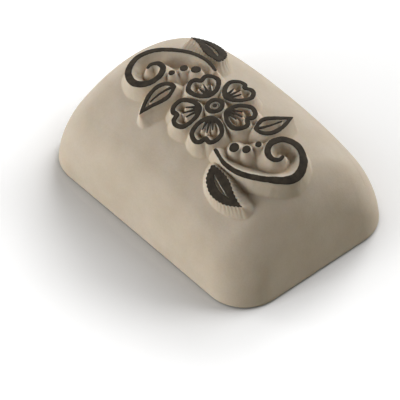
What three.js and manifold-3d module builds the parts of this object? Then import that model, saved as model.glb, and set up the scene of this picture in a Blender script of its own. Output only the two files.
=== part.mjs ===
// A temporary tattoo stamp: a palm-sized block of moulded foam. Its crowned top carries a raised floral
// ornament, and the narrow face of every raised line is coated with a film of black ink.
// Millimetres, +Z up, +X along the block. The origin is the centre of the flat underside.

import * as THREE from 'three';
import { toCreasedNormals } from 'three/addons/utils/BufferGeometryUtils.js';
import Module from 'manifold-3d';

const wasm = await Module();
wasm.setup();

// Block
const blockLength = 66;
const blockWidth = 45;
const crownHeight = 26.3;
const crownFallToEnds = 6.9;
const crownFallToSides = 13.5;
const crownPowerAlong = 2.4;
const crownPowerAcross = 2.1;
const sideDraft = 0.5;
const endDraft = 10;
const cornerRadius = 9.4;
const sideShoulderRadius = 4.4;
const endShoulderRadius = 6.2;
const footRadius = 0.8;

// Raised lines and the ink on them
const reliefHeight = 3;
const wallSteepness = 1.4;
const rootDepth = 0.8;
const lineWidth = 1;
const fineLineWidth = 0.7;
const lineTipWidth = 0.3;
const inkThickness = 0.3;
const inkSeatGap = 0.3;

// Clear skin beyond the ornament if it lay in the middle of the top, and how far off the middle it lies
const endMargin = 9.9;
const sideMargin = 9.7;
const centreAlong = 2;
const centreAcross = -2.5;

// Blossom
const petalCount = 5;
const petalLength = 8.9;
const petalGap = 0.7;
const petalNotch = 0.75;
const heartRadius = 2;
const heartDotRadius = 0.45;
const heartGap = 0.5;

// Scrolls, leaves and dots of the two flourishes
const scrollWidth = 1.45;
const scrollRadius = 5.8;
const scrollEndRadius = 0.85;
const fullLeafWidth = 4.9;
const fullLeafSlit = 0.8;
const veinedLeafWidth = 4.8;
const dotRadii = [1, 0.85, 0.65];

// How finely the curved forms are cut into flat faces
const cornerSteps = 9;
const flatStep = 5.2;
const skinRings = 22;
const bisections = 36;
const scrollSteps = 30;
const petalSteps = 22;
const leafSteps = 9;
const openingSteps = 7;
const roundSteps = 12;
const endSteps = 4;
const shortestEdge = 0.01;
const creaseAngle = 0.5;

const halfLength = blockLength / 2;
const halfWidth = blockWidth / 2;

const at = (x, y) => new THREE.Vector2(x, y);

// The crowned top before its edge is rounded

function crownAt(x, y) {
  const endFall = crownFallToEnds * (Math.abs(x) / halfLength) ** crownPowerAlong;
  const sideFall = crownFallToSides * (Math.abs(y) / halfWidth) ** crownPowerAcross;
  return crownHeight - endFall - sideFall;
}

function crownSteepness(x, y) {
  const alongShare = (Math.abs(x) / halfLength) ** (crownPowerAlong - 1);
  const acrossShare = (Math.abs(y) / halfWidth) ** (crownPowerAcross - 1);
  const along = crownFallToEnds * crownPowerAlong * alongShare / halfLength;
  const across = crownFallToSides * crownPowerAcross * acrossShare / halfWidth;
  return Math.hypot(1, along, across);
}

// The walls are drafted and their plan is a rectangle with round corners. How far a point lies beyond the
// lines on which the corners begin:

function beyondFlats(x, y, z) {
  const endLean = z * Math.tan(THREE.MathUtils.degToRad(endDraft));
  const sideLean = z * Math.tan(THREE.MathUtils.degToRad(sideDraft));
  const beyondX = Math.abs(x) - (halfLength - endLean - cornerRadius);
  const beyondY = Math.abs(y) - (halfWidth - sideLean - cornerRadius);
  return [beyondX, beyondY];
}

// Below zero inside the block and above zero outside it. Walls and crown meet in a round shoulder, which is
// fuller at the ends than along the sides.

function skinDistance(x, y, z) {
  const [beyondX, beyondY] = beyondFlats(x, y, z);
  const withinWalls = Math.min(Math.max(beyondX, beyondY), 0) - cornerRadius;
  const wall = withinWalls + Math.hypot(Math.max(beyondX, 0), Math.max(beyondY, 0));
  const crown = (z - crownAt(x, y)) / crownSteepness(x, y);
  const towardsEnd = THREE.MathUtils.smoothstep(beyondX - beyondY, -cornerRadius, cornerRadius);
  const radius = THREE.MathUtils.lerp(sideShoulderRadius, endShoulderRadius, towardsEnd);
  const inside = Math.min(Math.max(wall, crown) + radius, 0);
  return inside + Math.hypot(Math.max(wall + radius, 0), Math.max(crown + radius, 0)) - radius;
}

// Where the line from a point inside the block to one outside it passes through the skin

function crossSkin(inner, outer) {
  const near = inner.clone();
  const far = outer.clone();
  const middle = new THREE.Vector3();
  for (let i = 0; i < bisections; i += 1) {
    middle.lerpVectors(near, far, 0.5);
    const isInside = skinDistance(middle.x, middle.y, middle.z) < 0;
    (isInside ? near : far).copy(middle);
  }
  return middle;
}

// The ornament is drawn flat and then wrapped onto the skin: a place in the drawing stands for a place at the
// same distances from the middle along the curved skin, so that lines keep their widths where the top falls
// away. This turns such a distance into a level one.

function levelDistance(distance, fall, reach) {
  const bend = 2 * fall / reach ** 2;
  return distance / (1 + (bend * distance) ** 2 / 7);
}

function skinPoint(along, across) {
  const x = levelDistance(along, crownFallToEnds, halfLength);
  const y = levelDistance(across, crownFallToSides, halfWidth);
  return crossSkin(new THREE.Vector3(x, y, 0), new THREE.Vector3(x, y, 2 * crownHeight));
}

function wrapped(geometry) {
  const probe = 0.05;
  const position = geometry.attributes.position;
  for (let i = 0; i < position.count; i += 1) {
    const [along, across, lift] = [position.getX(i), position.getY(i), position.getZ(i)];
    const foot = skinPoint(along, across);
    const ahead = skinPoint(along + probe, across).sub(foot);
    const aside = skinPoint(along, across + probe).sub(foot);
    const lifted = foot.addScaledVector(ahead.cross(aside).normalize(), lift);
    position.setXYZ(i, lifted.x, lifted.y, lifted.z);
  }
  return geometry;
}

// Solids that can be joined, and back to geometry

function toSolid(geometry) {
  const mesh = new wasm.Mesh({
    numProp: 3,
    vertProperties: geometry.attributes.position.array,
    triVerts: Uint32Array.from(geometry.index.array),
  });
  return new wasm.Manifold(mesh);
}

function toGeometry(solid) {
  const mesh = solid.getMesh();
  const geometry = new THREE.BufferGeometry();
  geometry.setAttribute('position', new THREE.BufferAttribute(mesh.vertProperties, mesh.numProp));
  geometry.setIndex(withoutShortEdges(geometry.attributes.position, [...mesh.triVerts]));
  return geometry;
}

// Joining leaves a few edges far shorter than any form of the part. Each is drawn together into one point,
// where just the two triangles beside it vanish, which keeps the surface closed.

function withoutShortEdges(position, index) {
  const point = (i) => new THREE.Vector3().fromBufferAttribute(position, i);
  const corners = [];
  for (let i = 0; i < index.length; i += 3) corners.push(index.slice(i, i + 3));
  const around = new Map();
  corners.forEach((triangle) => triangle.forEach((i) => around.set(i, [...(around.get(i) ?? []), triangle])));
  const isWhole = (triangle) => new Set(triangle).size === 3;
  const facesAt = (i) => around.get(i).filter((triangle) => triangle.includes(i) && isWhole(triangle));
  const neighbours = (i) => new Set(facesAt(i).flat());
  for (const triangle of corners) {
    for (let k = 0; k < 3; k += 1) {
      const [kept, lost] = [triangle[k], triangle[(k + 1) % 3]];
      if (kept === lost || point(kept).distanceTo(point(lost)) > shortestEdge) continue;
      const shared = [...neighbours(kept)].filter((i) => neighbours(lost).has(i));
      if (shared.length !== 4) continue;
      for (const face of facesAt(lost)) {
        face[face.indexOf(lost)] = kept;
        around.get(kept).push(face);
      }
    }
  }
  return corners.filter(isWhole).flat();
}

function joined(solids) {
  return solids.reduce((whole, solid) => whole.add(solid));
}

// An outline is a closed row of places with the foam to the left of the way round: anticlockwise outside a
// line and clockwise round an opening in it. Walls spread to the right of the way round, and stop short of
// halfway to any other part of the same outline.

function turnedLeft(outline, foamInside) {
  return THREE.ShapeUtils.isClockWise(outline) === foamInside ? [...outline].reverse() : outline;
}

function spreadOut(outline, spread) {
  const count = outline.length;
  const mostOfHalf = 0.9 / 2;
  return outline.map((place, i) => {
    const along = outline[(i + 1) % count].clone().sub(outline[(i + count - 1) % count]).normalize();
    const outward = at(along.y, -along.x);
    const rooms = outline.map((other) => {
      const away = other.clone().sub(place);
      const facing = away.dot(outward);
      return facing > 0 ? mostOfHalf * away.lengthSq() / facing : Infinity;
    });
    return place.clone().addScaledVector(outward, Math.min(spread, ...rooms));
  });
}

// A solid between two levels. It has one outline round it and may have others round openings in it.

function raisedSolid(outlines, top, root) {
  const level = (loops, lift) => loops.flat().map((place) => new THREE.Vector3(place.x, place.y, lift));
  const triangles = (loops) => THREE.ShapeUtils.triangulateShape(loops[0], loops.slice(1));
  const spread = outlines.map((outline) => spreadOut(outline, root.spread));
  const points = [...level(outlines, top.lift), ...level(spread, root.lift)];
  const below = points.length / 2;
  const faces = [...triangles(outlines)];
  triangles(spread).forEach(([a, b, c]) => faces.push([below + a, below + c, below + b]));
  let first = 0;
  for (const outline of outlines) {
    for (let i = 0; i < outline.length; i += 1) {
      const [here, next] = [first + i, first + (i + 1) % outline.length];
      faces.push([below + here, below + next, next], [below + here, next, here]);
    }
    first += outline.length;
  }
  return toSolid(new THREE.BufferGeometry().setFromPoints(points).setIndex(faces.flat()));
}

// Block: rings of points from the rounded foot of the walls up to the top of the crown

function planOutline() {
  const plan = new THREE.Shape();
  const flatX = halfLength - cornerRadius;
  const flatY = halfWidth - cornerRadius;
  plan.absarc(flatX, flatY, cornerRadius, 0, Math.PI / 2);
  plan.absarc(-flatX, flatY, cornerRadius, Math.PI / 2, Math.PI);
  plan.absarc(-flatX, -flatY, cornerRadius, Math.PI, 1.5 * Math.PI);
  plan.absarc(flatX, -flatY, cornerRadius, 1.5 * Math.PI, 2 * Math.PI);
  plan.closePath();
  return plan.curves.flatMap((curve) => {
    const steps = curve.isLineCurve ? Math.ceil(curve.getLength() / flatStep) : cornerSteps;
    return curve.getSpacedPoints(steps).slice(0, steps);
  });
}

function blockGeometry() {
  const centre = new THREE.Vector3(0, 0, 0);
  const crownTop = new THREE.Vector3(0, 0, crownHeight);
  const plan = planOutline().map((point) => new THREE.Vector3(point.x, point.y, 0));
  const points = [centre];
  plan.forEach((point) => points.push(point.clone().setLength(point.length() - footRadius)));
  const footLift = new THREE.Vector3(0, 0, footRadius);
  const footMiddle = centre.clone().add(footLift);
  plan.forEach((point) => points.push(crossSkin(footMiddle, point.clone().multiplyScalar(2).add(footLift))));
  for (let ring = 1; ring < skinRings; ring += 1) {
    for (const point of plan) {
      const direction = new THREE.Vector3().lerpVectors(point, crownTop, ring / skinRings);
      points.push(crossSkin(centre, direction.setLength(2 * blockLength)));
    }
  }
  points.push(crownTop);

  const index = (ring, column) => 1 + ring * plan.length + column % plan.length;
  const faces = [];
  for (let column = 0; column < plan.length; column += 1) {
    faces.push(0, index(0, column + 1), index(0, column));
    for (let ring = 1; ring <= skinRings; ring += 1) {
      const [a, b] = [index(ring - 1, column), index(ring - 1, column + 1)];
      const [c, d] = [index(ring, column + 1), index(ring, column)];
      faces.push(a, b, c, a, c, d);
    }
    faces.push(index(skinRings, column), index(skinRings, column + 1), points.length - 1);
  }
  const geometry = new THREE.BufferGeometry().setFromPoints(points);
  geometry.setIndex(faces);
  return geometry;
}

// The drawing is made about its own centre and fitted to the top as a whole

const drawnReach = at(23.1, 12.8);
const roomAlong = (halfLength - endMargin) / drawnReach.x;
const roomAcross = (halfWidth - sideMargin) / drawnReach.y;
const ornamentScale = Math.min(roomAlong, roomAcross);

function placed(outline) {
  const centre = at(centreAlong, centreAcross);
  return outline.map((place) => place.clone().multiplyScalar(ornamentScale).add(centre));
}

function turnedBy(points, turn) {
  return points.map((point) => point.clone().rotateAround(at(0, 0), turn));
}

function smoothPath(points, closed = false) {
  const knots = points.map((point) => new THREE.Vector3(point.x, point.y, 0));
  const curve = new THREE.CatmullRomCurve3(knots, closed, 'catmullrom', 0.5);
  return (t) => {
    const point = curve.getPoint(t);
    return at(point.x, point.y);
  };
}

function arcPoints(middle, fromRadius, toRadius, fromDegrees, toDegrees, count) {
  return Array.from({ length: count }, (_, i) => {
    const share = i / (count - 1);
    const angle = THREE.MathUtils.degToRad(THREE.MathUtils.lerp(fromDegrees, toDegrees, share));
    const radius = THREE.MathUtils.lerp(fromRadius, toRadius, share);
    return at(radius * Math.cos(angle), radius * Math.sin(angle)).add(middle);
  });
}

// A line with round ends along a path: down its right side, round its end and back up its left side

function lineOutline(path, widthAt, steps) {
  const probe = 1e-3;
  const station = (t) => {
    const [before, after] = [path(Math.max(t - probe, 0)), path(Math.min(t + probe, 1))];
    const heading = after.sub(before).normalize();
    return { place: path(t), heading, reach: widthAt(t) / 2 };
  };
  const round = ({ place, heading, reach }, degrees) => {
    const side = heading.clone().rotateAround(at(0, 0), THREE.MathUtils.degToRad(degrees));
    return place.clone().addScaledVector(side, reach);
  };
  const row = Array.from({ length: steps + 1 }, (_, i) => station(i / steps));
  const inner = Array.from({ length: endSteps - 1 }, (_, i) => 180 * (i + 1) / endSteps);
  return [
    ...row.map((each) => round(each, -90)),
    ...inner.map((degrees) => round(row[steps], degrees - 90)),
    ...[...row].reverse().map((each) => round(each, 90)),
    ...inner.map((degrees) => round(row[0], degrees + 90)),
  ];
}

function straightLine(from, to) {
  const widthAt = (t) => THREE.MathUtils.lerp(fineLineWidth, lineTipWidth, t);
  return [lineOutline((t) => from.clone().lerp(to, t), widthAt, 1)];
}

// A line that closes on itself is an outline and an opening to either side of its path

function closedLine(path, steps) {
  const points = Array.from({ length: steps }, (_, i) => path(i / steps));
  return [true, false].map((foamInside) => spreadOut(turnedLeft(points, foamInside), lineWidth / 2));
}

// Motifs: each is a list of lines that hang together. A petal fills its share of the blossom up to the gap
// that parts it from the next one, with a notch in its rim and three veins that fan out from its root.

function petal(turn) {
  const lean = Math.PI / petalCount;
  const rootReach = heartRadius + heartGap + lineWidth / 2;
  const rimReach = petalLength - lineWidth / 2;
  const setBack = (petalGap + lineWidth) / 2 / Math.cos(lean);
  const reach = (share) => THREE.MathUtils.lerp(rootReach, rimReach, share);
  const side = (share, drawnIn = 0) => at(reach(share), reach(share) * Math.tan(lean) - setBack - drawnIn);
  const oneSide = [side(0.15), side(0.42), side(0.69, 0.75), at(reach(0.95), 2.15), at(rimReach, 1)];
  const otherSide = oneSide.map((point) => at(point.x, -point.y)).reverse();
  const rim = [at(rootReach, 0), ...oneSide, at(rimReach - petalNotch, 0), ...otherSide];
  const vein = (rootAside, share, tipAside) => {
    const [from, to] = turnedBy([at(rootReach, rootAside), at(reach(share), tipAside)], turn);
    return straightLine(from, to);
  };
  return [
    closedLine(smoothPath(turnedBy(rim, turn), true), petalSteps),
    vein(0, 0.62, 0),
    vein(0.35, 0.5, 1.1),
    vein(-0.35, 0.5, -1.1),
  ];
}

function heartRing() {
  const middleRadius = heartRadius - lineWidth / 2;
  const start = Math.PI / roundSteps;
  const circle = new THREE.EllipseCurve(0, 0, middleRadius, middleRadius, start, start + 2 * Math.PI);
  return [closedLine((t) => circle.getPoint(t), roundSteps)];
}

function dot(place, radius) {
  const circle = new THREE.EllipseCurve(place.x, place.y, radius, radius);
  return [[circle.getPoints(roundSteps).slice(0, roundSteps)]];
}

// A leaf lies along a bowed midrib. Its edge swells from the stalk and narrows to the tip, and so does that
// of an opening inside it.

function leafOutline([stalk, bow, tip], width, from, to, steps) {
  const midrib = new THREE.QuadraticBezierCurve(stalk, bow, tip);
  const beside = (side) => Array.from({ length: steps - 1 }, (_, i) => {
    const share = (i + 1) / steps;
    const t = THREE.MathUtils.lerp(from, to, share);
    const across = midrib.getTangent(t).rotateAround(at(0, 0), side * Math.PI / 2);
    return midrib.getPoint(t).addScaledVector(across, width / 2 * Math.sin(Math.PI * share ** 0.8));
  });
  return [midrib.getPoint(from), ...beside(-1), midrib.getPoint(to), ...beside(1).reverse()];
}

function fullLeaf(midrib) {
  const slit = leafOutline(midrib, fullLeafSlit, 0.18, 0.75, openingSteps);
  return [[leafOutline(midrib, fullLeafWidth, 0, 1, leafSteps), turnedLeft(slit, false)]];
}

function veinedLeaf([stalk, bow, tip]) {
  const midrib = new THREE.QuadraticBezierCurve(stalk, bow, tip);
  const opening = leafOutline([stalk, bow, tip], veinedLeafWidth - 2 * lineWidth, 0.12, 0.86, openingSteps);
  const ribWidth = (t) => THREE.MathUtils.lerp(fineLineWidth, lineTipWidth, t);
  return [
    [leafOutline([stalk, bow, tip], veinedLeafWidth, 0, 1, leafSteps), turnedLeft(opening, false)],
    [lineOutline((t) => midrib.getPoint(THREE.MathUtils.lerp(0.08, 0.72, t)), ribWidth, 3)],
  ];
}

// A flourish beside the blossom: a stem that rolls up into a scroll, with leaves and dots along it

function flourish(name, turn) {
  const scroll = arcPoints(at(17.9, 2), scrollRadius, scrollEndRadius, -55, 360, 10);
  const stem = smoothPath(turnedBy([at(8, -6.5), at(11.8, -7.2), at(16.2, -6.2), ...scroll], turn));
  const stemWidth = (t) => THREE.MathUtils.lerp(fineLineWidth, scrollWidth, Math.sin(Math.PI * t));
  const fullMidrib = turnedBy([at(9.9, -8.9), at(14.2, -12.9), at(20.7, -10.7)], turn);
  const veinedMidrib = turnedBy([at(9.9, 1.8), at(12, 4.3), at(11.6, 10.8)], turn);
  const dots = turnedBy([at(10.6, -3.7), at(12.7, -2.3), at(13.5, 0.1)], turn);
  const motifs = {
    [`ink_scroll_${name}`]: [[lineOutline(stem, stemWidth, scrollSteps)]],
    [`ink_full_leaf_${name}`]: fullLeaf(fullMidrib),
    [`ink_veined_leaf_${name}`]: veinedLeaf(veinedMidrib),
  };
  dots.forEach((place, i) => {
    motifs[`ink_dot_${name}_${i + 1}`] = dot(place, dotRadii[i]);
  });
  return motifs;
}

function ornament() {
  const blossom = { ink_heart_ring: heartRing(), ink_heart_dot: dot(at(0, 0), heartDotRadius) };
  for (let i = 0; i < petalCount; i += 1) {
    blossom[`ink_petal_${i + 1}`] = petal((i / petalCount + 0.25) * 2 * Math.PI);
  }
  return { ...blossom, ...flourish('right', 0), ...flourish('left', Math.PI) };
}

// The stamp

const foamMaterial = new THREE.MeshStandardMaterial({ color: '#bcb09d', roughness: 0.9, metalness: 0 });
const inkMaterial = new THREE.MeshStandardMaterial({ color: '#2d2a27', roughness: 0.6, metalness: 0 });

function namedMesh(name, geometry, material) {
  const mesh = new THREE.Mesh(toCreasedNormals(geometry, creaseAngle), material);
  mesh.name = name;
  return mesh;
}

const reliefTop = reliefHeight - inkThickness - inkSeatGap;
const rootSpread = (reliefTop + rootDepth) / wallSteepness;

// The lines of a motif as one solid

function motifSolid(lines, topLift, bottomLift, spread) {
  const solids = lines.map((outlines) => {
    return raisedSolid(outlines.map(placed), { lift: topLift }, { lift: bottomLift, spread });
  });
  return joined(solids);
}

const stamp = new THREE.Group();
const motifs = Object.entries(ornament());
const raisedMotifs = motifs.map(([, lines]) => motifSolid(lines, reliefTop, -rootDepth, rootSpread));
const relief = wrapped(toGeometry(joined(raisedMotifs)));
const foam = joined([toSolid(blockGeometry()), toSolid(relief)]);
stamp.add(namedMesh('foam_block', toGeometry(foam), foamMaterial));
for (const [name, lines] of motifs) {
  const film = motifSolid(lines, reliefHeight, reliefHeight - inkThickness, 0);
  stamp.add(namedMesh(name, wrapped(toGeometry(film)), inkMaterial));
}

export default stamp;
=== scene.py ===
"""The looks of a temporary tattoo stamp of moulded foam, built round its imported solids.

The drawing and the skin are worked out in millimetres, and the meshes are made in metres.
"""

import math

import bpy
import numpy as np
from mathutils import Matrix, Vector


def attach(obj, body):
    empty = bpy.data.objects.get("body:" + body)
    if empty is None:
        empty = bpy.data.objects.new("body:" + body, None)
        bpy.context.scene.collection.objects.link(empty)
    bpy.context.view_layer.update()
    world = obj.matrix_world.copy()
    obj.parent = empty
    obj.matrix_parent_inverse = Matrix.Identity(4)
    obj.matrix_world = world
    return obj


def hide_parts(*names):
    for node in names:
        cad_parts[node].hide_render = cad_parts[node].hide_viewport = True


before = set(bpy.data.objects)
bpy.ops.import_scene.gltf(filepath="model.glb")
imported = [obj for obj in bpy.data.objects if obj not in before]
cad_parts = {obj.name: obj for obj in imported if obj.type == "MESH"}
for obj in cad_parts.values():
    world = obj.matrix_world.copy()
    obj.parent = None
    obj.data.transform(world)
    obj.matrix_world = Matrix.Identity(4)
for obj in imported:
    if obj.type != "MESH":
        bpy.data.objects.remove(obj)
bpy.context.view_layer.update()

MM = 0.001

# The distance given where no line is near
FAR = 1e3

# Block, as in the solids
HALF_LENGTH, HALF_WIDTH, CROWN_HEIGHT = 33.0, 22.5, 26.3
FALL_TO_ENDS, FALL_TO_SIDES = 6.9, 13.5
POWER_ALONG, POWER_ACROSS = 2.4, 2.1
END_LEAN, SIDE_LEAN = math.tan(math.radians(10)), math.tan(math.radians(0.5))
CORNER_RADIUS, SIDE_SHOULDER, END_SHOULDER = 9.4, 4.4, 6.2
FOOT_RADIUS = 0.8

# Ornament, as in the solids
CENTRE = np.array([2.0, -2.5])
LINE_WIDTH, FINE_WIDTH, TIP_WIDTH = 1.0, 0.7, 0.3
PETALS, PETAL_LENGTH, PETAL_GAP, PETAL_NOTCH = 5, 8.9, 0.7, 0.75
HEART_RADIUS, HEART_DOT, HEART_GAP = 2.0, 0.45, 0.5
SCROLL_WIDTH, SCROLL_RADIUS, SCROLL_END = 1.45, 5.8, 0.85
FULL_LEAF, FULL_SLIT, VEINED_LEAF = 4.9, 0.8, 4.8
DOT_RADII = [1.0, 0.85, 0.65]

# Teeth along the full leaves, and how far down the wall their flutes run out
TOOTH_PITCH, TOOTH_DEPTH, FLUTE_REACH = 0.88, 0.09, 2.1

# Relief: the height of its face, and walls that fall steeply to the knee and gently below it
RELIEF = 3.0
UPPER_STEEPNESS, LOWER_STEEPNESS, KNEE = 2.2, 1.15, 0.5
KNEE_BLEND_SQUARED, FOOT_BLEND = 0.02, 0.07
WALL_HEAD_START, WALL_REACH = 0.06, 4.5
FOAM_WANDER = 0.02

# Tints: heights are averaged over this many steps of the net either way, painted shade in a hollow
# begins this far below that average and is full this much deeper, and a wall is full from this
# height
RECESS_STEPS, RECESS_FROM, RECESS_TO_FULL = 5, 0.15, 1.1
WALL_TO_FULL = 0.9

# Ink film: the foam's height below it, its underside, and how its face rounds off at the rim
FOAM_TOP = 2.82
FILM_UNDER = 2.72
FILM_SINK, RIM_WIDTH, RIM_FALL = 0.02, 0.14, 0.07
FILM_WANDER = 0.012
FILM_MARGIN = 2.7

# Meshes: the net over the top of the block has stops along it and across it, and each stop but
# the first comes with the pitch that leads to it; below the net's rim are rings down to the foot
NET_ALONG = [(-29.0, 0), (-26.0, 0.5), (28.6, 0.17), (29.0, 0.2)]
NET_ACROSS = [(-19.6, 0), (15.2, 0.17), (19.6, 0.5)]
FILM_PITCH = 0.16
WALL_RINGS = 36
BEYOND_BLOCK = 80
HALVINGS = 36
PLACES_AT_ONCE = 4000

# The skin of the block


def crown(x, y):
    along = FALL_TO_ENDS * (np.abs(x) / HALF_LENGTH) ** POWER_ALONG
    across = FALL_TO_SIDES * (np.abs(y) / HALF_WIDTH) ** POWER_ACROSS
    return CROWN_HEIGHT - along - across


def crown_slope(distance, fall, reach, power):
    return fall * power * (np.abs(distance) / reach) ** (power - 1) / reach


def skin_distance(x, y, z):
    """About how far a point is outside the block, below zero inside it."""
    beyond_x = np.abs(x) - (HALF_LENGTH - z * END_LEAN - CORNER_RADIUS)
    beyond_y = np.abs(y) - (HALF_WIDTH - z * SIDE_LEAN - CORNER_RADIUS)
    wall = np.minimum(np.maximum(beyond_x, beyond_y), 0) - CORNER_RADIUS
    wall = wall + np.hypot(np.maximum(beyond_x, 0), np.maximum(beyond_y, 0))
    along = crown_slope(x, FALL_TO_ENDS, HALF_LENGTH, POWER_ALONG)
    across = crown_slope(y, FALL_TO_SIDES, HALF_WIDTH, POWER_ACROSS)
    top = (z - crown(x, y)) / np.sqrt(1 + along**2 + across**2)
    towards_end = np.clip((beyond_x - beyond_y) / (2 * CORNER_RADIUS) + 0.5, 0, 1)
    towards_end = towards_end**2 * (3 - 2 * towards_end)
    radius = SIDE_SHOULDER + (END_SHOULDER - SIDE_SHOULDER) * towards_end
    rounded = np.hypot(np.maximum(wall + radius, 0), np.maximum(top + radius, 0))
    return np.minimum(np.maximum(wall, top) + radius, 0) + rounded - radius


def cross_skin(inner, outer):
    """Where each line from a point inside the block to one outside it passes through the skin."""
    near, far = inner.copy(), outer.copy()
    for _ in range(HALVINGS):
        middle = (near + far) / 2
        inside = (skin_distance(*middle.T) < 0)[:, None]
        near, far = np.where(inside, middle, near), np.where(inside, far, middle)
    return (near + far) / 2


def skin_normal(points):
    probe = 0.02
    slopes = []
    for axis in np.eye(3) * probe:
        slopes.append(skin_distance(*(points + axis).T) - skin_distance(*(points - axis).T))
    normal = np.array(slopes).T
    return normal / np.linalg.norm(normal, axis=1)[:, None]


def level(distance, fall, reach):
    """The level distance for one along the skin, as in the solids."""
    bend = 2 * fall / reach**2
    return distance / (1 + (bend * distance) ** 2 / 7)


def on_skin(places):
    """The points of the top at places in the drawing, which are distances along the skin."""
    x = level(places[:, 0], FALL_TO_ENDS, HALF_LENGTH)
    y = level(places[:, 1], FALL_TO_SIDES, HALF_WIDTH)
    low = np.column_stack([x, y, np.zeros_like(x)])
    return cross_skin(low, low + [0, 0, 2 * CROWN_HEIGHT])


# The drawing: strokes and filled leaves, each with a signed distance that is below zero inside it


def turned(points, angle):
    c, s = math.cos(angle), math.sin(angle)
    return np.asarray(points, float) @ np.array([[c, s], [-s, c]])


def smooth(points, count, closed=False):
    """A Catmull-Rom curve through the points, as in the solids."""
    p = np.asarray(points, float)
    if closed:
        p = np.vstack([p[-1:], p, p[:2]])
    else:
        p = np.vstack([2 * p[0] - p[1], p, 2 * p[-1] - p[-2]])
    spans = len(p) - 3
    t = np.linspace(0, spans, count, endpoint=not closed)
    i = np.minimum(t.astype(int), spans - 1)
    w = (t - i)[:, None]
    a, b, c, d = p[i], p[i + 1], p[i + 2], p[i + 3]
    m, n = (c - a) / 2, (d - b) / 2
    return b + m * w + (3 * (c - b) - 2 * m - n) * w**2 + (2 * (b - c) + m + n) * w**3


def arc(middle, from_radius, to_radius, from_degrees, to_degrees, count):
    share = np.linspace(0, 1, count)
    angle = np.radians(from_degrees + (to_degrees - from_degrees) * share)
    radius = from_radius + (to_radius - from_radius) * share
    return np.asarray(middle) + np.column_stack([radius * np.cos(angle), radius * np.sin(angle)])


def stroke(points, widths, closed=False):
    points = np.asarray(points, float)
    widths = np.broadcast_to(np.asarray(widths, float), (len(points),))
    return {"kind": "stroke", "points": points, "reach": widths / 2, "closed": closed}


def area(points, toothed=False):
    return {"kind": "area", "points": np.asarray(points, float), "toothed": toothed}


def to_segments(places, a, b):
    """Distance from each place to each segment, and how far along it the nearest point is."""
    span = b - a
    away = places[:, None, :] - a[None]
    t = np.clip((away * span).sum(2) / np.maximum((span**2).sum(1), 1e-12), 0, 1)
    return np.linalg.norm(away - t[..., None] * span, axis=2), t


def stroke_distance(shape, places):
    a, reach_a = shape["points"], shape["reach"]
    b, reach_b = np.roll(a, -1, axis=0), np.roll(reach_a, -1)
    if not shape["closed"]:
        a, b, reach_a, reach_b = a[:-1], b[:-1], reach_a[:-1], reach_b[:-1]
    distance, t = to_segments(places, a, b)
    return (distance - (reach_a + (reach_b - reach_a) * t)).min(axis=1)


def area_distance(shape, places):
    a = shape["points"]
    b = np.roll(a, -1, axis=0)
    distances, t = to_segments(places, a, b)
    nearest = distances.argmin(axis=1)
    row = np.arange(len(places))
    distance = distances[row, nearest]
    x, y = places[:, :1], places[:, 1:]
    crosses = (a[:, 1] > y) != (b[:, 1] > y)
    rise = np.where(b[:, 1] == a[:, 1], 1, b[:, 1] - a[:, 1])
    to_left = x < a[:, 0] + (y - a[:, 1]) * (b[:, 0] - a[:, 0]) / rise
    inside = (crosses & to_left).sum(axis=1) % 2 == 1
    distance = np.where(inside, -distance, distance)
    if shape["toothed"]:
        lengths = np.linalg.norm(b - a, axis=1)
        round_edge = np.cumsum(lengths)[nearest] - lengths[nearest] * (1 - t[row, nearest])
        teeth = round(lengths.sum() / TOOTH_PITCH)
        fade = np.clip(1 - distance / FLUTE_REACH, 0, 1)
        wave = np.cos(2 * np.pi * teeth * round_edge / lengths.sum())
        distance = distance + TOOTH_DEPTH * fade * wave
    return distance


def shape_distance(shape, places):
    if shape["kind"] == "stroke":
        return stroke_distance(shape, places)
    return area_distance(shape, places)


def motif_distance(motif, places):
    """Distance to the motif's first shape less its openings, or to a nearer one of the others."""
    places = places - CENTRE
    result = np.full(len(places), FAR)
    for start in range(0, len(places), PLACES_AT_ONCE):
        part = places[start : start + PLACES_AT_ONCE]
        found = shape_distance(motif["shapes"][0], part)
        for opening in motif.get("openings", []):
            found = np.maximum(found, -shape_distance(opening, part))
        for shape in motif["shapes"][1:]:
            found = np.minimum(found, shape_distance(shape, part))
        result[start : start + PLACES_AT_ONCE] = found
    return result


def petal(turn):
    """A petal's outline with a notch in its rim, and three veins that fan out from its root."""
    lean = math.pi / PETALS
    root = HEART_RADIUS + HEART_GAP + LINE_WIDTH / 2
    rim = PETAL_LENGTH - LINE_WIDTH / 2
    set_back = (PETAL_GAP + LINE_WIDTH) / 2 / math.cos(lean)

    def reach(share):
        return root + (rim - root) * share

    def side(share, drawn_in=0.0):
        return (reach(share), reach(share) * math.tan(lean) - set_back - drawn_in)

    one = [side(0.15), side(0.42), side(0.69, 0.75), (reach(0.95), 2.15), (rim, 1.0)]
    other = [(x, -y) for x, y in one][::-1]
    outline = turned([(root, 0), *one, (rim - PETAL_NOTCH, 0), *other], turn)
    shapes = [stroke(smooth(outline, 132, closed=True), LINE_WIDTH, closed=True)]
    for root_aside, share, tip_aside in ((0, 0.62, 0), (0.35, 0.5, 1.1), (-0.35, 0.5, -1.1)):
        vein = turned([(root, root_aside), (reach(share), tip_aside)], turn)
        shapes.append(stroke(vein, [FINE_WIDTH, TIP_WIDTH]))
    return {"shapes": shapes}


def bowed(midrib, t):
    """Places along a midrib given by its stalk, bow and tip, and the direction across it there."""
    a, b, c = (np.asarray(p, float) for p in midrib)
    t = np.asarray(t)[:, None]
    place = a * (1 - t) ** 2 + b * 2 * t * (1 - t) + c * t**2
    along = (b - a) * (1 - t) + (c - b) * t
    along = along / np.linalg.norm(along, axis=1)[:, None]
    return place, np.column_stack([-along[:, 1], along[:, 0]])


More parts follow.
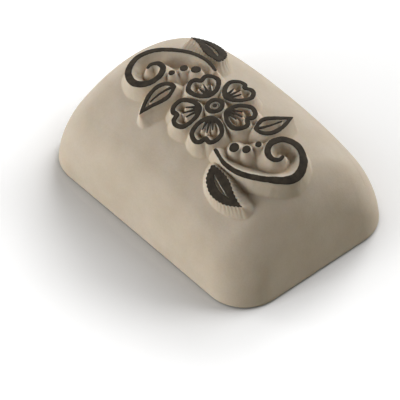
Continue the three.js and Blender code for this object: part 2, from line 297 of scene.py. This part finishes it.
def leaf(midrib, width, start, end, count, toothed=False):
    share = np.linspace(0, 1, count)
    place, across = bowed(midrib, start + (end - start) * share)
    edge = across * (width / 2 * np.sin(np.pi * share**0.8))[:, None]
    return area(np.vstack([place - edge, (place + edge)[-2:0:-1]]), toothed)


def full_leaf(midrib):
    edge = leaf(midrib, FULL_LEAF, 0, 1, 48, toothed=True)
    return {"shapes": [edge], "openings": [leaf(midrib, FULL_SLIT, 0.18, 0.75, 32)]}


def veined_leaf(midrib):
    rib = bowed(midrib, np.linspace(0.08, 0.72, 12))[0]
    rib_widths = np.linspace(FINE_WIDTH, TIP_WIDTH, 12)
    return {
        "shapes": [leaf(midrib, VEINED_LEAF, 0, 1, 48), stroke(rib, rib_widths)],
        "openings": [leaf(midrib, VEINED_LEAF - 2 * LINE_WIDTH, 0.12, 0.86, 36)],
    }


def dot(place, radius):
    return {"shapes": [stroke([place, place], 2 * radius)]}


def flourish(name, turn):
    """One half of what flanks the blossom: a scroll, a full leaf, a veined leaf and three dots."""
    spiral = arc((17.9, 2), SCROLL_RADIUS, SCROLL_END, -55, 360, 10)
    stem = [(8, -6.5), (11.8, -7.2), (16.2, -6.2), *spiral]
    along = np.linspace(0, 1, 190)
    widths = FINE_WIDTH + (SCROLL_WIDTH - FINE_WIDTH) * np.sin(np.pi * along)
    full_midrib = [(9.9, -8.9), (14.2, -12.9), (20.7, -10.7)]
    veined_midrib = [(9.9, 1.8), (12, 4.3), (11.6, 10.8)]
    motifs = {
        "scroll_" + name: {"shapes": [stroke(smooth(turned(stem, turn), 190), widths)]},
        "full_leaf_" + name: full_leaf(turned(full_midrib, turn)),
        "veined_leaf_" + name: veined_leaf(turned(veined_midrib, turn)),
    }
    for i, place in enumerate(turned([(10.6, -3.7), (12.7, -2.3), (13.5, 0.1)], turn)):
        motifs[f"dot_{name}_{i + 1}"] = dot(place, DOT_RADII[i])
    return motifs


def ornament():
    ring_radius = HEART_RADIUS - LINE_WIDTH / 2
    ring = arc((0, 0), ring_radius, ring_radius, 0, 360, 65)
    motifs = {
        "heart_ring": {"shapes": [stroke(ring, LINE_WIDTH)]},
        "heart_dot": dot((0, 0), HEART_DOT),
    }
    for i in range(PETALS):
        motifs[f"petal_{i + 1}"] = petal((i / PETALS + 0.25) * 2 * math.pi)
    return {**motifs, **flourish("right", 0), **flourish("left", math.pi)}


MOTIFS = ornament()


def motif_box(motif, margin):
    places = np.vstack([shape["points"] for shape in motif["shapes"]]) + CENTRE
    return places.min(axis=0) - margin, places.max(axis=0) + margin


def wander(places, scale, seed):
    """A smooth wander between about -1 and 1, in waves some 6 times scale long."""
    u, v = places[:, 0] / scale, places[:, 1] / scale
    waves = [(1.0, 0.3, 1.7), (-0.5, 1.1, 0.4), (0.8, -0.9, 2.9), (0.2, 1.6, 5.1), (1.7, 0.6, 3.3)]
    return sum(np.sin(a * u + b * v + c * (seed + 1)) for a, b, c in waves) / 3


def mould_edge(places, distance):
    """Hand-cut edges aren't quite true: they wander by a few hundredths of a millimetre."""
    return distance + 0.035 * wander(places, 0.55, 1) + 0.02 * wander(places, 0.21, 2)


# Meshes


def mesh_object(name, points, faces, material, smooth_faces=True):
    mesh = bpy.data.meshes.new(name)
    corners = [list(map(int, face)) for face in faces]
    mesh.from_pydata((np.asarray(points) * MM).tolist(), [], corners)
    mesh.validate()
    mesh.polygons.foreach_set("use_smooth", [smooth_faces] * len(mesh.polygons))
    mesh.materials.append(material)
    mesh.update()
    obj = bpy.data.objects.new(name, mesh)
    bpy.context.scene.collection.objects.link(obj)
    return obj


def graded(stops):
    """Coordinates through the given stops, each but the first with the pitch that leads to it."""
    line = [stops[0][0]]
    for value, pitch in stops[1:]:
        steps = max(1, round((value - line[-1]) / pitch))
        line.extend(np.linspace(line[-1], value, steps + 1)[1:])
    return np.array(line)


def nearest_line(places):
    nearest = np.full(len(places), FAR)
    for motif in MOTIFS.values():
        low, high = motif_box(motif, WALL_REACH)
        close = np.all((places > low) & (places < high), axis=1)
        nearest[close] = np.minimum(nearest[close], motif_distance(motif, places[close]))
    return nearest


def soft_max(a, b, blend):
    return (a + b + np.sqrt((a - b) ** 2 + blend**2)) / 2


def relief_height(places):
    """How far the foam stands above the skin: level under the ink, then a wall down to the skin."""
    distance = mould_edge(places, nearest_line(places))
    out = np.maximum(distance * (1 + 0.035 * wander(places, 0.7, 5)), 0)
    to_knee = (out + KNEE - np.sqrt((out - KNEE) ** 2 + KNEE_BLEND_SQUARED)) / 2
    fall = LOWER_STEEPNESS * out + (UPPER_STEEPNESS - LOWER_STEEPNESS) * to_knee
    wall = np.minimum(FOAM_TOP, FOAM_TOP + WALL_HEAD_START - fall)
    height = np.where(distance < 0, FOAM_TOP, wall)
    # the blend at the wall's foot lifts open skin a little, and that comes off again
    height = soft_max(height, 0, FOOT_BLEND) - soft_max(-RELIEF, 0, FOOT_BLEND)
    return np.maximum(height, 0)


def painted_shade_share(height):
    """How much painted shade each place gets, by how deep it lies among the relief around it: 0 on
    open foam, 1 in a narrow hollow.
    """
    around = height
    steps = range(-RECESS_STEPS, RECESS_STEPS + 1)
    for axis in (0, 1) * 3:
        around = sum(np.roll(around, step, axis) for step in steps) / len(steps)
    return np.clip((around - height - RECESS_FROM) / RECESS_TO_FULL, 0, 1)


def wall_rings(rim):
    """Rings of points from the top's rim down the walls and round the foot to the underside."""
    angle = np.arctan2(rim[:, 1] / HALF_WIDTH, rim[:, 0] / HALF_LENGTH)
    along, across = np.cos(angle) * HALF_LENGTH, np.sin(angle) * HALF_WIDTH
    middle = np.tile([0.0, 0.0, FOOT_RADIUS], (len(rim), 1))
    foot = cross_skin(middle, middle + np.column_stack([along, across, 0 * angle]) * 2)
    rings = []
    for share in np.linspace(0, 1, WALL_RINGS + 1)[1:]:
        target = rim * (1 - share) + foot * share
        outer = target / np.linalg.norm(target, axis=1)[:, None] * BEYOND_BLOCK
        rings.append(cross_skin(np.zeros_like(target), outer))
    rings[-1] = foot
    outward = foot * [1, 1, 0]
    outward = outward / np.linalg.norm(outward, axis=1)[:, None]
    for turn in np.radians([22.5, 45, 67.5, 90]):
        ring = foot - outward * FOOT_RADIUS * (1 - math.cos(turn))
        ring[:, 2] = FOOT_RADIUS * (1 - math.sin(turn))
        rings.append(ring)
    return rings


def foam_mesh():
    """Points and faces of the foam, and for the points of its top the shares that tint them:
    painted shade in hollows, and a darkening of the raised relief.
    """
    u, v = np.meshgrid(graded(NET_ALONG), graded(NET_ACROSS), indexing="ij")
    places = np.column_stack([u.ravel(), v.ravel()])
    base = on_skin(places)
    # the foam is uneven by a few hundredths, and nearly always inwards, to stay in its solid
    height = relief_height(places) - FOAM_WANDER * (1 + wander(places, 2.7, 8))
    top = base + skin_normal(base) * height[:, None]
    shares = {
        # painted shade: the deeper a place lies among the relief, the darker and warmer it is
        # coloured
        "painted_recess_shade": painted_shade_share(height.reshape(u.shape)).ravel(),
        "relief": np.clip(height / WALL_TO_FULL, 0, 1),
    }

    index = np.arange(u.size).reshape(u.shape)
    quads = [index[:-1, :-1], index[1:, :-1], index[1:, 1:], index[:-1, 1:]]
    faces = np.stack(quads, axis=-1).reshape(-1, 4).tolist()
    rim = np.concatenate([index[:-1, 0], index[-1, :-1], index[:0:-1, -1], index[0, :0:-1]])
    points, count, previous = [top], u.size, rim
    for ring in wall_rings(base[rim]):
        here = count + np.arange(len(rim))
        points.append(ring)
        count += len(rim)
        band = [previous, here, np.roll(here, -1), np.roll(previous, -1)]
        faces += np.stack(band, axis=-1).tolist()
        previous = here
    points.append(np.zeros((1, 3)))
    underside = [previous, np.full(len(rim), count), np.roll(previous, -1)]
    faces += np.stack(underside, axis=-1).tolist()
    return np.vstack(points), faces, shares


def film_net(motif):
    """The face of a motif cut exactly along its edge: places, distances to the edge, triangles."""
    low, high = motif_box(motif, FILM_MARGIN)
    u, v = (np.arange(low[axis], high[axis], FILM_PITCH) for axis in (0, 1))
    uu, vv = np.meshgrid(u, v, indexing="ij")
    places = np.column_stack([uu.ravel(), vv.ravel()])
    distance = mould_edge(places, motif_distance(motif, places)) + 1e-6
    index = np.arange(len(places)).reshape(uu.shape)
    quads = (index[:-1, :-1], index[1:, :-1], index[1:, 1:], index[:-1, 1:])
    a, b, c, d = (corner.ravel() for corner in quads)
    triangles = np.vstack([np.column_stack([a, b, c]), np.column_stack([a, c, d])])
    inside = (distance[triangles] < 0).sum(axis=1)
    kept = triangles[inside == 3].tolist()
    extra, cut = [], {}

    def crossing(i, j):
        key = (min(i, j), max(i, j))
        if key not in cut:
            t = distance[i] / (distance[i] - distance[j])
            cut[key] = len(places) + len(extra)
            extra.append(places[i] + (places[j] - places[i]) * t)
        return cut[key]

    for triangle in triangles[(inside == 1) | (inside == 2)].tolist():
        polygon = []
        for k in range(3):
            i, j = triangle[k], triangle[(k + 1) % 3]
            if distance[i] < 0:
                polygon.append(i)
            if (distance[i] < 0) != (distance[j] < 0):
                polygon.append(crossing(i, j))
        kept.append(polygon[:3])
        if len(polygon) == 4:
            kept.append([polygon[0], polygon[2], polygon[3]])
    places = np.vstack([places, np.array(extra).reshape(-1, 2)])
    distance = np.concatenate([distance, np.zeros(len(extra))])
    kept = np.array(kept)
    used, flat = np.unique(kept, return_inverse=True)
    return places[used], distance[used], flat.reshape(kept.shape)


def film_object(name, motif, material):
    """A closed film of ink: the motif's face, the same again below it, and a wall between them."""
    places, distance, triangles = film_net(motif)
    count = len(places)
    base = on_skin(places)
    normal = skin_normal(base)
    edge = np.clip(1 + distance / RIM_WIDTH, 0, 1)
    lift = RELIEF - FILM_SINK - RIM_FALL * edge**2 - FILM_WANDER * (1 + wander(places, 0.9, 3))
    top = base + normal * lift[:, None]
    under = base + normal * FILM_UNDER
    border = {}
    for a, b, c in triangles.tolist():
        for i, j in ((a, b), (b, c), (c, a)):
            if (j, i) in border:
                del border[(j, i)]
            else:
                border[(i, j)] = True
    faces = triangles.tolist() + (triangles[:, ::-1] + count).tolist()
    faces += [[j, i, i + count, j + count] for i, j in border]
    return mesh_object(name, np.vstack([top, under]), faces, material)


# Materials

# What the foam's colour is multiplied by where each share is full: painted shade, darker and
# warmer, in hollows of the relief, and a slight darkening on the relief's walls
TINTS = {"painted_recess_shade": (1, 0.86, 0.68, 1), "relief": (0.96, 0.955, 0.95, 1)}


def srgb(red, green, blue):
    linear = []
    for c in (red / 255, green / 255, blue / 255):
        linear.append(c / 12.92 if c <= 0.04045 else ((c + 0.055) / 1.055) ** 2.4)
    return (*linear, 1.0)


def add_node(tree, kind, inputs=None, **settings):
    """A new node, each of its inputs set to a plain value or linked from another node's output."""
    node = tree.nodes.new("ShaderNode" + kind)
    for name, value in settings.items():
        setattr(node, name, value)
    for name, value in (inputs or {}).items():
        if isinstance(value, bpy.types.NodeSocket):
            tree.links.new(value, node.inputs[name])
        else:
            node.inputs[name].default_value = value
    return node


def noise(tree, scale, detail, roughness=0.5):
    place = add_node(tree, "TexCoord").outputs["Object"]
    inputs = {"Vector": place, "Scale": scale, "Detail": detail, "Roughness": roughness}
    return add_node(tree, "TexNoise", inputs).outputs["Fac"]


def ramp(tree, source, *stops):
    node = add_node(tree, "ValToRGB", {"Fac": source})
    for element, (position, colour) in zip(node.color_ramp.elements, stops):
        element.position, element.color = position, colour
    return node.outputs["Color"]


def multiplied(tree, colour, by, share):
    inputs = {"Factor": share, 6: colour, 7: by}
    return add_node(tree, "Mix", inputs, data_type="RGBA", blend_type="MULTIPLY").outputs[2]


def bump(tree, height, strength, depth, after=None):
    inputs = {"Strength": strength, "Distance": depth, "Height": height}
    if after is not None:
        inputs["Normal"] = after
    return add_node(tree, "Bump", inputs).outputs["Normal"]


def new_material(name, colour, normal, **shader_values):
    """A Principled material; colour and normal make their nodes in its tree."""
    material = bpy.data.materials.new(name)
    material.use_nodes = True
    tree = material.node_tree
    shader = tree.nodes["Principled BSDF"]
    tree.links.new(colour(tree), shader.inputs["Base Color"])
    tree.links.new(normal(tree), shader.inputs["Normal"])
    for key, value in shader_values.items():
        shader.inputs[key.replace("_", " ")].default_value = value
    return material


def foam_colour(tree):
    mottle = ramp(tree, noise(tree, 160, 3), (0.3, srgb(189, 176, 158)), (0.7, srgb(197, 185, 169)))
    speckle = ramp(tree, noise(tree, 2600, 2), (0.35, (0.93, 0.92, 0.9, 1)), (0.62, (1, 1, 1, 1)))
    colour = multiplied(tree, mottle, speckle, 0.5)
    # painted shade darkens and warms the hollows, and the raised relief is made a little darker
    for name, tint in TINTS.items():
        share = add_node(tree, "Attribute", attribute_name=name).outputs["Fac"]
        colour = multiplied(tree, colour, tint, share)
    return colour


def foam_normal(tree):
    cells = bump(tree, noise(tree, 3200, 3, 0.6), 0.27, 0.00012)
    return bump(tree, noise(tree, 420, 3), 0.25, 0.0002, cells)


def ink_colour(tree):
    return ramp(tree, noise(tree, 700, 3), (0.32, srgb(40, 35, 29)), (0.7, srgb(61, 54, 44)))


def ink_normal(tree):
    return bump(tree, noise(tree, 2200, 3, 0.6), 0.3, 0.00006)


foam = new_material(
    "foam",
    foam_colour,
    foam_normal,
    Roughness=0.92,
    Specular_IOR_Level=0.18,
    Subsurface_Weight=0.6,
    Subsurface_Radius=(1.0, 0.55, 0.3),
    Subsurface_Scale=0.0018,
)
ink = new_material("ink", ink_colour, ink_normal, Roughness=0.75, Specular_IOR_Level=0.12)

points, faces, shares = foam_mesh()
body = mesh_object("foam_body", points, faces, foam)
for name, share in shares.items():
    values = np.zeros(len(points))
    values[: len(share)] = share
    body.data.attributes.new(name, "FLOAT", "POINT").data.foreach_set("value", values)
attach(body, "root")
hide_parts("foam_block")

for name, motif in MOTIFS.items():
    film = film_object("film_" + name, motif, ink)
    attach(film, "root")
    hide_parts("ink_" + name)

# Stage

# The floor's tone in the picture, the light it throws back, and the shade painted into its colour
# near the object
FLOOR_SEEN = 1.4
FLOOR_BOUNCE = (0.42, 0.395, 0.29, 1)
SHADE_REACH, SHADE_DEPTH = 0.08, 0.95
FLOOR_HALF_SIZE, FLOOR_DROP = 0.6, 0.00005

# Soft lamps: where each comes from, its strength, and how many degrees wide it is
SUNS = {
    "front": ((-0.22, -0.95, 0.24), 1.84, 24),
    "front_left": ((-0.6, -0.76, 0.24), 0.56, 24),
    "left": ((-0.87, -0.42, 0.24), 0.78, 24),
    "right": ((0.87, -0.42, 0.24), 0.16, 24),
    "back_left": ((-0.43, 0.72, 0.53), 1.1, 26),
    "back": ((0, 0.85, 0.53), 0.62, 24),
    "back_high": ((0.05, 0.55, 0.83), 0.52, 26),
    "back_right": ((0.4, 0.74, 0.53), 1.0, 26),
}
AMBIENT = 0.02
WHITE = (1, 1, 1, 1)


def seen_rays(tree):
    """1 for rays from the camera and for those that come by way of gloss or glass, otherwise 0."""
    path = add_node(tree, "LightPath")
    seen = path.outputs["Is Camera Ray"]
    for kind in ("Is Glossy Ray", "Is Transmission Ray"):
        inputs = {0: seen, 1: path.outputs[kind]}
        seen = add_node(tree, "Math", inputs, operation="MAXIMUM").outputs[0]
    return seen


def seen_apart(owner, output, plain, seen):
    """Gives a material or world one shader for rays that show it and another for the rest."""
    owner.use_nodes = True
    tree = owner.node_tree
    tree.nodes.clear()
    inputs = {0: seen_rays(tree), 1: plain(tree).outputs[0], 2: seen(tree).outputs[0]}
    mix = add_node(tree, "MixShader", inputs)
    add_node(tree, output, {0: mix.outputs[0]})
    return owner


def floor_seen(tree):
    # painted shade: for the camera the floor is darkened by ambient occlusion near the object, over
    # its real shadows
    openness = add_node(tree, "AmbientOcclusion", {"Distance": SHADE_REACH}).outputs["AO"]
    painted_floor_shade = add_node(tree, "Math", {0: openness, 1: SHADE_DEPTH}, operation="POWER")
    tone = add_node(tree, "Math", {0: painted_floor_shade.outputs[0], 1: FLOOR_SEEN}, operation="MULTIPLY")
    return add_node(tree, "BsdfDiffuse", {"Color": tone.outputs[0]})


floor = mesh_object(
    "floor",
    np.array([(-1, -1, 0), (1, -1, 0), (1, 1, 0), (-1, 1, 0)]) * FLOOR_HALF_SIZE / MM,
    [[0, 1, 2, 3]],
    seen_apart(
        bpy.data.materials.new("floor"),
        "OutputMaterial",
        lambda tree: add_node(tree, "BsdfDiffuse", {"Color": FLOOR_BOUNCE}),
        floor_seen,
    ),
    smooth_faces=False,
)
floor.location.z = -FLOOR_DROP

for name, (towards, strength, width) in SUNS.items():
    lamp = bpy.data.lights.new(name, "SUN")
    lamp.energy = strength
    lamp.angle = math.radians(width)
    holder = bpy.data.objects.new(name, lamp)
    holder.rotation_euler = Vector(towards).to_track_quat("Z", "Y").to_euler()
    bpy.context.scene.collection.objects.link(holder)

bpy.context.scene.world = seen_apart(
    bpy.data.worlds.new("studio"),
    "OutputWorld",
    lambda tree: add_node(tree, "Background", {"Color": WHITE, "Strength": AMBIENT}),
    lambda tree: add_node(tree, "Background", {"Color": WHITE, "Strength": 1}),
)

# Camera, at the photograph's angle; the object's middle lies this many pixels right of and above
# the middle of the picture
YAW, ELEVATION = math.radians(48.77), math.radians(46.86)
DISTANCE = 1.3394
TARGET = Vector((0, 0, 0.010))
IMAGE_WIDTH, PIXELS_PER_METRE = 400, 4638.7
PIXELS_RIGHT, PIXELS_UP = 18.23, 44.59
SENSOR_WIDTH = 36
right = Vector((math.cos(YAW), math.sin(YAW), 0))
away = Vector((-math.sin(YAW), math.cos(YAW), 0))
forward = away * math.cos(ELEVATION) - Vector((0, 0, math.sin(ELEVATION)))
upward = away * math.sin(ELEVATION) + Vector((0, 0, math.cos(ELEVATION)))
aim = TARGET - right * (PIXELS_RIGHT / PIXELS_PER_METRE) - upward * (PIXELS_UP / PIXELS_PER_METRE)
camera = bpy.data.objects.new("camera", bpy.data.cameras.new("camera"))
camera.data.sensor_width = SENSOR_WIDTH
camera.data.lens = SENSOR_WIDTH * PIXELS_PER_METRE * DISTANCE / IMAGE_WIDTH
camera.location = aim - forward * DISTANCE
camera.rotation_euler = forward.to_track_quat("-Z", "Y").to_euler()
camera.data.clip_end = 20
bpy.context.scene.collection.objects.link(camera)
bpy.context.scene.camera = camera
bpy.context.scene.view_settings.view_transform = "Standard"
